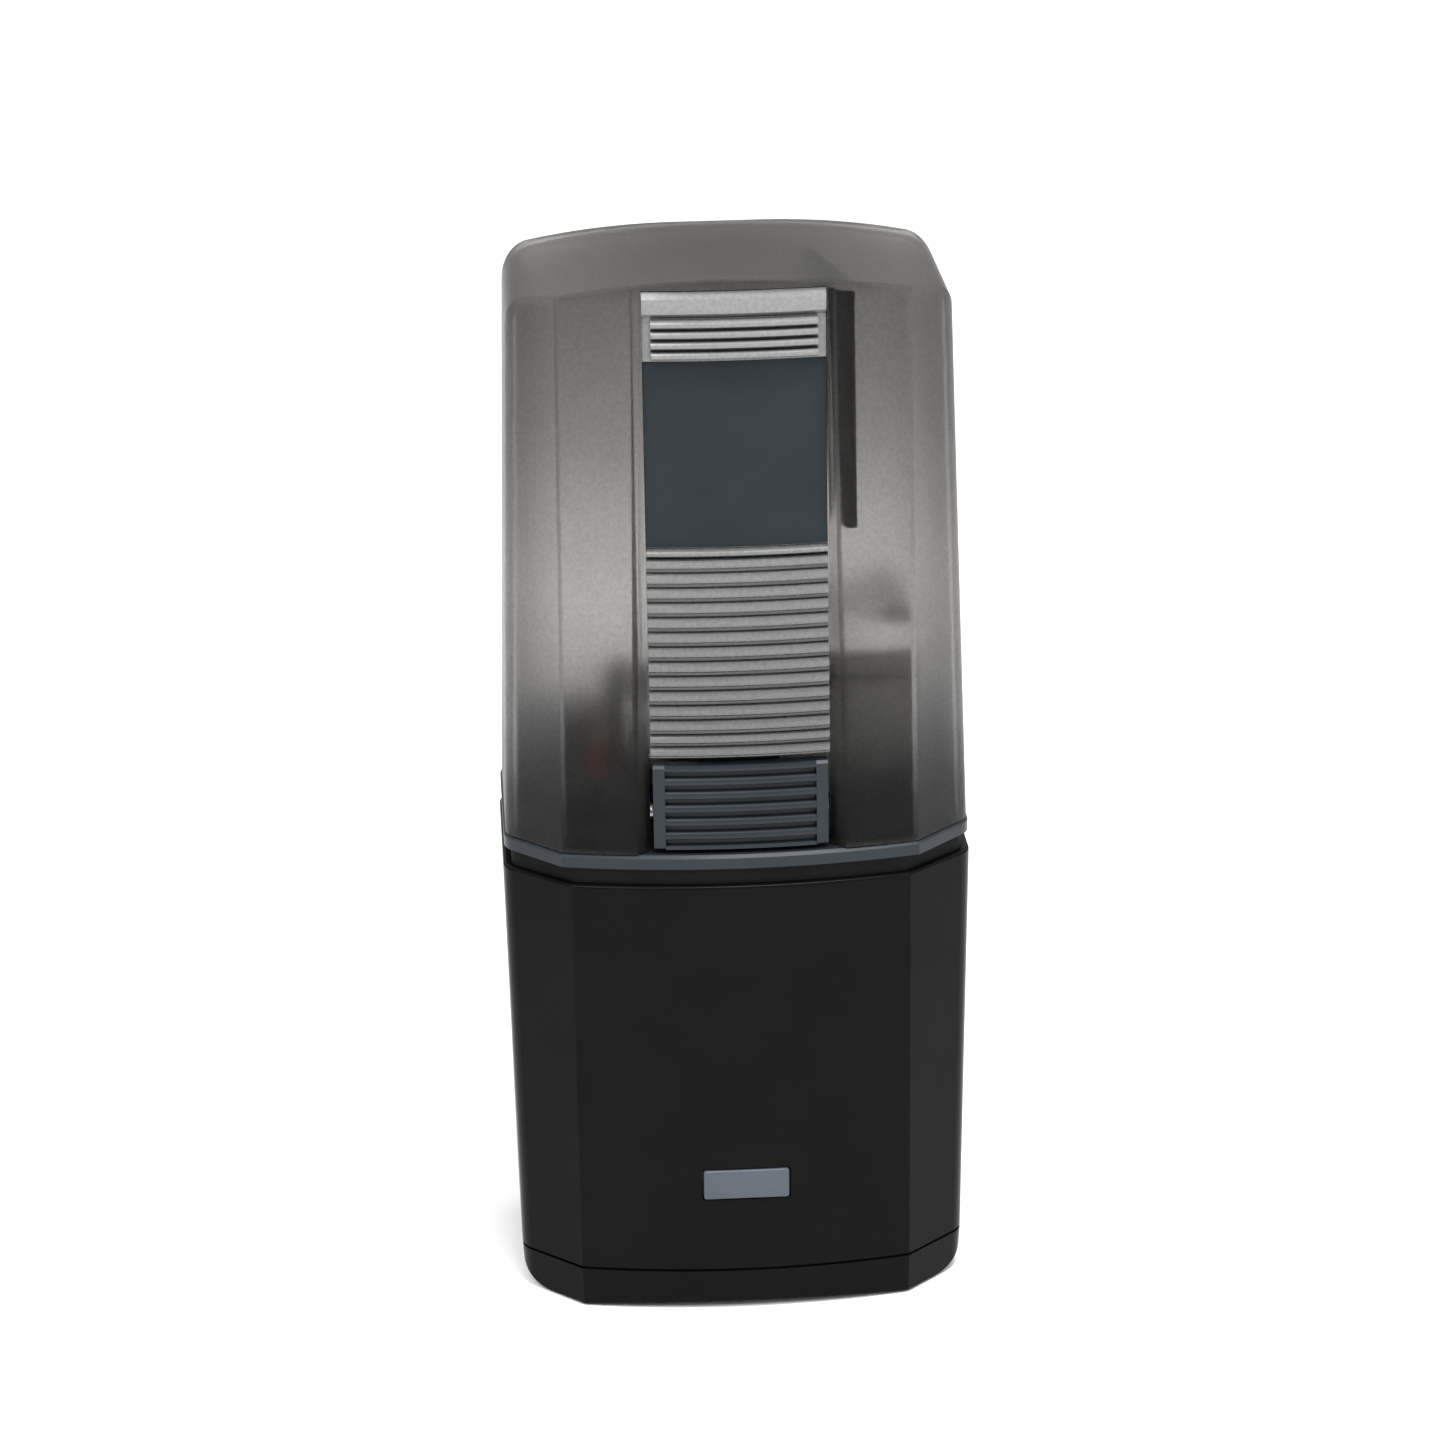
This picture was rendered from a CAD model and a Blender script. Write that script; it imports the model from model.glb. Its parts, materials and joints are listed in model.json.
"""Looks for the battery aquarium air pump: materials, camera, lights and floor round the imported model."""
import json
import math

import bpy
from mathutils import Matrix, Vector


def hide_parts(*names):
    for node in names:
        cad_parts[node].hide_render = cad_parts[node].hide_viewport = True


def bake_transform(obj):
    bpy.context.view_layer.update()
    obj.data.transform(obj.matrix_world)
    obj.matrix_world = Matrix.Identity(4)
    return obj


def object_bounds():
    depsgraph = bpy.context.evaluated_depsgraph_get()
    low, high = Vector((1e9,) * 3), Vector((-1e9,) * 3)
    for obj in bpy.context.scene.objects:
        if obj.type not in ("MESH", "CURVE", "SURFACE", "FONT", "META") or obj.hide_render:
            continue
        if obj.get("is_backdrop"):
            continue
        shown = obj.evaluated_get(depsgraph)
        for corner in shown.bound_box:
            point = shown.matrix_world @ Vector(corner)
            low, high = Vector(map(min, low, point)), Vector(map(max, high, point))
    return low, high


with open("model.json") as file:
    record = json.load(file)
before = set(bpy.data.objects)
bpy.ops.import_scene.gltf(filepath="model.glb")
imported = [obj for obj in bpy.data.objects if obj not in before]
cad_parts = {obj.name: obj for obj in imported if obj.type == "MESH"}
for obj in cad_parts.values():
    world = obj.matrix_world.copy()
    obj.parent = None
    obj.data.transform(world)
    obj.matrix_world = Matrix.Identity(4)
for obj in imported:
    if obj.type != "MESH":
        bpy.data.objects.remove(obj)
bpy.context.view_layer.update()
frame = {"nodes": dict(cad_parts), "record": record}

WHITE = (1.0, 1.0, 1.0)

# the smoke cover's tint at heights above the floor: darkest at the deck, clearest above the pump head
SMOKE_TINT = [
    (0.0861, (0.13, 0.13, 0.132)),
    (0.0935, (0.20, 0.20, 0.20)),
    (0.0985, (0.40, 0.398, 0.395)),
    (0.1061, (0.56, 0.555, 0.55)),
    (0.1191, (0.62, 0.61, 0.60)),
    (0.1311, (0.66, 0.65, 0.64)),
    (0.1411, (0.54, 0.53, 0.52)),
    (0.1611, (0.43, 0.42, 0.41)),
    (0.1821, (0.37, 0.36, 0.35)),
    (0.1861, (0.16, 0.156, 0.152)),
]
SIDE_FADE, SIDE_SHADE = (0.030, 0.038), 0.70     # half widths where the cover's sides darken, and how far
GRIP_FOOT_Z, GRIP_TOP_Z = 0.101, 0.185           # the ribbed panels get lighter between these heights

CAMERA_ELEVATION, CAMERA_YAW, CAMERA_ROLL = 19.2, 3.4, -0.85     # degrees
CAMERA_TARGET, CAMERA_DISTANCE, CAMERA_LENS = (-0.0012, 0.0, 0.09885), 0.836, 118.3

FLOOR_HALF, FLOOR_GAP = 3.0, 0.0002
SKY_BAND, SKY_STRENGTH = (0.05, 0.75), (0.25, 1.25)     # sine of the elevation, and brightness there


# ---- node helpers -------------------------------------------------------------------------
class Mat:
    """A Principled material whose colour, roughness and bump come from procedural nodes."""

    def __init__(self, name, **uniform):
        self.mat = bpy.data.materials.new(name)
        self.mat.use_nodes = True
        self.tree = self.mat.node_tree
        self.bsdf = self.tree.nodes["Principled BSDF"]
        self.coord = self.tree.nodes.new("ShaderNodeTexCoord").outputs["Object"]
        for socket, value in uniform.items():
            self.bsdf.inputs[socket.replace("_", " ")].default_value = value

    def node(self, kind, values=None, links=None, **props):
        node = self.tree.nodes.new("ShaderNode" + kind)
        for key, value in props.items():
            setattr(node, key, value)
        for socket, value in (values or {}).items():
            node.inputs[socket].default_value = value
        for socket, source in (links or {}).items():
            self.tree.links.new(source, node.inputs[socket])
        return node

    def feed(self, socket, value):
        """Link a socket to another node's output, or give it a fixed number or colour."""
        if isinstance(value, bpy.types.NodeSocket):
            self.tree.links.new(value, socket)
        elif isinstance(value, tuple):
            socket.default_value = (*value, 1.0)
        else:
            socket.default_value = value

    def noise(self, scale, detail=3.0, rough=0.55, stretch=(1, 1, 1)):
        place = self.node("Mapping", {"Scale": stretch}, {"Vector": self.coord})
        made = self.node("TexNoise", {"Scale": scale, "Detail": detail, "Roughness": rough},
                         {"Vector": place.outputs["Vector"]})
        return made.outputs["Fac"]

    def ramp(self, source, low, high, start=0.3, end=0.7):
        made = self.node("MapRange", {"From Min": start, "From Max": end, "To Min": low, "To Max": high},
                         {"Value": source})
        return made.outputs["Result"]

    def colours(self, source, stops):
        made = self.node("ValToRGB", links={"Fac": source})
        ramp = made.color_ramp
        while len(ramp.elements) < len(stops):
            ramp.elements.new(0.5)
        for element, (at, colour) in zip(ramp.elements, stops):
            element.position = at
            element.color = (*colour, 1.0)
        return made.outputs["Color"]

    def place(self, axis):
        """Distance along an axis of the row frame, in metres."""
        split = self.node("SeparateXYZ", links={"Vector": self.coord})
        return split.outputs[axis]

    def multiply(self, a, b):
        """Product of two colours."""
        made = self.node("Mix", data_type="RGBA", blend_type="MULTIPLY")
        for index, value in ((0, 1.0), (6, a), (7, b)):
            self.feed(made.inputs[index], value)
        return made.outputs[2]

    def size_of(self, value):
        made = self.node("Math", operation="ABSOLUTE")
        self.feed(made.inputs[0], value)
        return made.outputs[0]

    def crevice(self, colour, depth, dark):
        """Darken a colour where the surface lies deep in a groove of its own."""
        made = self.node("AmbientOcclusion", {"Distance": depth}, samples=6)
        shade = self.colours(made.outputs["AO"], [(0.25, (dark, dark, dark)), (0.85, WHITE)])
        return self.multiply(colour, shade)

    def set(self, socket, source):
        self.tree.links.new(source, self.bsdf.inputs[socket])

    def bump(self, heights, strength, distance):
        made = self.node("Bump", {"Strength": strength, "Distance": distance}, {"Height": heights})
        self.set("Normal", made.outputs["Normal"])


def mottled(mat, base, spread, scale=60.0):
    """Base colour that drifts a little, as moulded plastic does."""
    drift = mat.noise(scale, 3)
    low = tuple(c * (1 - spread) for c in base)
    high = tuple(min(1.0, c * (1 + spread)) for c in base)
    colour = mat.colours(drift, [(0.3, low), (0.7, high)])
    mat.set("Base Color", colour)
    return colour


# ---- kinds of finish ----------------------------------------------------------------------
def plastic(name, base, rough, grain=900.0, grain_strength=0.2, grain_depth=0.00004, spread=0.1, smudge=0.06,
            crease=0.0, **uniform):
    """Moulded plastic or rubber; crease is the depth at which its own grooves go dark."""
    mat = Mat(name, **uniform)
    colour = mottled(mat, base, spread)
    if crease:
        mat.set("Base Color", mat.crevice(colour, crease, 0.3))
    smear = mat.noise(35.0, 4, 0.6, (1, 1, 0.4))
    mat.set("Roughness", mat.ramp(smear, rough - smudge, rough + smudge))
    mat.bump(mat.noise(grain, 2), grain_strength, grain_depth)
    return mat.mat


def metal(name, base, rough, brushed=(1, 1, 30)):
    """Brushed metal; brushed squeezes the streaks along each axis."""
    mat = Mat(name, Metallic=1.0)
    mottled(mat, base, 0.08, 200.0)
    streaks = mat.noise(250.0, 3, 0.5, brushed)
    mat.set("Roughness", mat.ramp(streaks, rough * 0.7, rough * 1.35))
    mat.bump(streaks, 0.12, 0.00003)
    return mat.mat


def smoke(name, stops, rough):
    """Frosted smoke plastic that blurs what is behind it; its tint changes with height (metres, colour)."""
    mat = Mat(name, Transmission_Weight=1.0, IOR=1.28, Specular_IOR_Level=0.2,
              Specular_Tint=(0.6, 0.6, 0.6, 1.0))
    grain = mat.noise(1500.0, 2, 0.6)
    cloud = mat.noise(22.0, 3, 0.5)
    low, high = stops[0][0], stops[-1][0]
    level = mat.ramp(mat.place("Z"), 0.0, 1.0, low, high)
    tint = mat.colours(level, [((z - low) / (high - low), colour) for z, colour in stops])
    edge = mat.ramp(mat.size_of(mat.place("X")), 0.0, 1.0, *SIDE_FADE)
    sides = mat.colours(edge, [(0.0, WHITE), (1.0, (SIDE_SHADE, SIDE_SHADE, SIDE_SHADE))])
    drift = mat.colours(cloud, [(0.25, (0.94, 0.94, 0.94)), (0.75, WHITE)])
    dots = mat.colours(grain, [(0.38, (0.80, 0.80, 0.80)), (0.62, WHITE)])
    mat.set("Base Color", mat.multiply(mat.multiply(mat.multiply(tint, sides), drift), dots))
    mat.set("Roughness", mat.ramp(cloud, rough - 0.04, rough + 0.04))
    mat.bump(grain, 0.35, 0.00006)
    return mat.mat


def satin(name, low_colour, high_colour, rough, shine):
    """Opaque satin plastic that is a little lighter towards its top."""
    mat = Mat(name, Specular_IOR_Level=shine)
    level = mat.ramp(mat.place("Z"), 0.0, 1.0, GRIP_FOOT_Z, GRIP_TOP_Z)
    tint = mat.colours(level, [(0.0, low_colour), (1.0, high_colour)])
    grain = mat.noise(1300.0, 2, 0.6)
    dots = mat.colours(grain, [(0.35, (0.82, 0.82, 0.82)), (0.65, WHITE)])
    mat.set("Base Color", mat.crevice(mat.multiply(tint, dots), 0.0012, 0.25))
    mat.set("Roughness", mat.ramp(mat.noise(60.0, 4), rough - 0.05, rough + 0.07))
    mat.bump(grain, 0.25, 0.00004)
    return mat.mat


# ---- one entry for each material slot of the record ---------------------------------------
FINISHES = {
    "smoke": (smoke, dict(stops=SMOKE_TINT, rough=0.40)),
    "silver_smoke": (satin, dict(low_colour=(0.06, 0.06, 0.059), high_colour=(0.17, 0.173, 0.17), rough=0.22,
                                 shine=0.9)),
    "label": (plastic, dict(base=(0.016, 0.0205, 0.0235), rough=0.38, grain=1200.0, grain_strength=0.1,
                            Specular_IOR_Level=0.08)),
    "slate": (plastic, dict(base=(0.015, 0.0195, 0.024), rough=0.34, grain=1300.0, grain_strength=0.25,
                            grain_depth=0.00005, crease=0.0012, Specular_IOR_Level=0.18)),
    "button_slate": (plastic, dict(base=(0.052, 0.063, 0.078), rough=0.34, grain=1300.0, grain_strength=0.25,
                                   grain_depth=0.00005, Specular_IOR_Level=0.30)),
    "black_gloss": (plastic, dict(base=(0.0034, 0.0033, 0.0032), rough=0.24, grain=700.0, grain_strength=0.06,
                                  grain_depth=0.00003, spread=0.15, smudge=0.05, Specular_IOR_Level=0.05)),
    "black_matte": (plastic, dict(base=(0.010, 0.010, 0.010), rough=0.6, grain_strength=0.35,
                                  Specular_IOR_Level=0.2)),
    "graphite": (plastic, dict(base=(0.16, 0.158, 0.152), rough=0.5, grain_strength=0.3,
                               Specular_IOR_Level=0.3)),
    "natural": (plastic, dict(base=(0.86, 0.86, 0.84), rough=0.42)),
    "rubber": (plastic, dict(base=(0.008, 0.008, 0.008), rough=0.78, grain=600.0, grain_strength=0.5,
                             grain_depth=0.00008, Specular_IOR_Level=0.1)),
    "silicone": (plastic, dict(base=(0.50, 0.51, 0.50), rough=0.35, grain=500.0, grain_strength=0.15)),
    "ferrite": (plastic, dict(base=(0.06, 0.06, 0.065), rough=0.65, grain=700.0, grain_strength=0.5)),
    "cell_skin": (plastic, dict(base=(0.07, 0.08, 0.09), rough=0.24, grain=500.0, grain_strength=0.08)),
    "board": (plastic, dict(base=(0.03, 0.15, 0.07), rough=0.34, grain=1200.0, grain_strength=0.15)),
    "felt": (plastic, dict(base=(0.70, 0.70, 0.67), rough=0.95, grain=1800.0, grain_strength=0.9,
                           grain_depth=0.0002)),
    "wire_red": (plastic, dict(base=(0.42, 0.03, 0.03), rough=0.4, grain=700.0, grain_strength=0.1)),
    "wire_black": (plastic, dict(base=(0.02, 0.02, 0.02), rough=0.4, grain=700.0, grain_strength=0.1)),
    "steel": (metal, dict(base=(0.55, 0.56, 0.57), rough=0.28)),
    "spring_steel": (metal, dict(base=(0.68, 0.68, 0.70), rough=0.16)),
    "black_zinc": (metal, dict(base=(0.34, 0.335, 0.33), rough=0.42, brushed=(30, 30, 1))),
    "brass": (metal, dict(base=(0.72, 0.56, 0.28), rough=0.26)),
    "copper": (metal, dict(base=(0.68, 0.33, 0.20), rough=0.3)),
}


def dress_nodes():
    """Give every CAD node the material of its slot."""
    materials = {slot: make(slot, **values) for slot, (make, values) in FINISHES.items()}
    slots = {s["node"]: s["material_slot"] for s in frame["record"]["subparts"]}
    for node, obj in frame["nodes"].items():
        mat = materials[slots[node]]
        for holder in obj.material_slots:
            holder.material = mat
        if not obj.material_slots:
            obj.data.materials.append(mat)


# ---- soft rubber --------------------------------------------------------------------------
def flexing_diaphragm():
    """The diaphragm's clamped rim stays with the housing while its middle goes up and down with the rod."""
    rubber = bpy.data.objects.new("diaphragm_skin", frame["nodes"]["diaphragm"].data.copy())
    bpy.context.scene.collection.objects.link(rubber)
    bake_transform(rubber)
    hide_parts("diaphragm")


# ---- studio -------------------------------------------------------------------------------
def camera():
    elevation, yaw, roll = (math.radians(a) for a in (CAMERA_ELEVATION, CAMERA_YAW, CAMERA_ROLL))
    back = Vector((-math.sin(yaw) * math.cos(elevation), -math.cos(yaw) * math.cos(elevation),
                   math.sin(elevation)))
    data = bpy.data.cameras.new("camera")
    data.lens, data.sensor_width = CAMERA_LENS, 36.0
    data.clip_start, data.clip_end = 0.01, 20.0
    made = bpy.data.objects.new("camera", data)
    bpy.context.scene.collection.objects.link(made)
    turn = back.to_track_quat("Z", "Y").to_matrix().to_4x4() @ Matrix.Rotation(roll, 4, "Z")
    made.matrix_world = Matrix.Translation(Vector(CAMERA_TARGET) + back * CAMERA_DISTANCE) @ turn
    bpy.context.scene.camera = made


def lamp(name, place, aim, size, power, size_y=None):
    """Soft area light, square unless size_y is given."""
    data = bpy.data.lights.new(name, "AREA")
    data.energy, data.size = power, size
    if size_y:
        data.shape, data.size_y = "RECTANGLE", size_y
    made = bpy.data.objects.new(name, data)
    bpy.context.scene.collection.objects.link(made)
    away = Vector(place) - Vector(aim)
    made.matrix_world = Matrix.Translation(Vector(place)) @ away.to_track_quat("Z", "Y").to_matrix().to_4x4()


def floor():
    mesh = bpy.data.meshes.new("floor")
    corners = [(x * FLOOR_HALF, y * FLOOR_HALF, 0) for x, y in ((-1, -1), (1, -1), (1, 1), (-1, 1))]
    mesh.from_pydata(corners, [], [(0, 1, 2, 3)])
    made = bpy.data.objects.new("floor", mesh)
    made.location.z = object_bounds()[0][2] - FLOOR_GAP
    bpy.context.scene.collection.objects.link(made)
    mesh.materials.append(plastic("floor_sheet", (0.86, 0.86, 0.86), rough=0.75, grain=300.0,
                                  grain_strength=0.05, grain_depth=0.00005, spread=0.01))
    made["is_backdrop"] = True


def sky():
    """White surroundings that are dim near the horizon and bright overhead."""
    world = bpy.data.worlds.new("studio")
    bpy.context.scene.world = world
    world.use_nodes = True
    nodes, links = world.node_tree.nodes, world.node_tree.links
    background = nodes["Background"]
    background.inputs["Color"].default_value = (*WHITE, 1.0)
    place = nodes.new("ShaderNodeTexCoord")
    split = nodes.new("ShaderNodeSeparateXYZ")
    grade = nodes.new("ShaderNodeMapRange")
    links.new(place.outputs["Generated"], split.inputs["Vector"])
    links.new(split.outputs["Z"], grade.inputs["Value"])
    for socket, value in zip(("From Min", "From Max", "To Min", "To Max"), SKY_BAND + SKY_STRENGTH):
        grade.inputs[socket].default_value = value
    links.new(grade.outputs["Result"], background.inputs["Strength"])


def studio():
    floor()
    sky()
    bpy.context.scene.view_settings.view_transform = "Standard"
    lamp("key", (-0.45, -0.8, 0.95), (0, 0, 0.1), 0.5, 9.0)
    lamp("fill", (0.7, -0.5, 0.5), (0, 0, 0.1), 0.6, 3.0)
    lamp("top", (0.12, -0.32, 1.0), (0, 0, 0.12), 0.35, 9.0, size_y=0.12)


dress_nodes()
flexing_diaphragm()
camera()
studio()
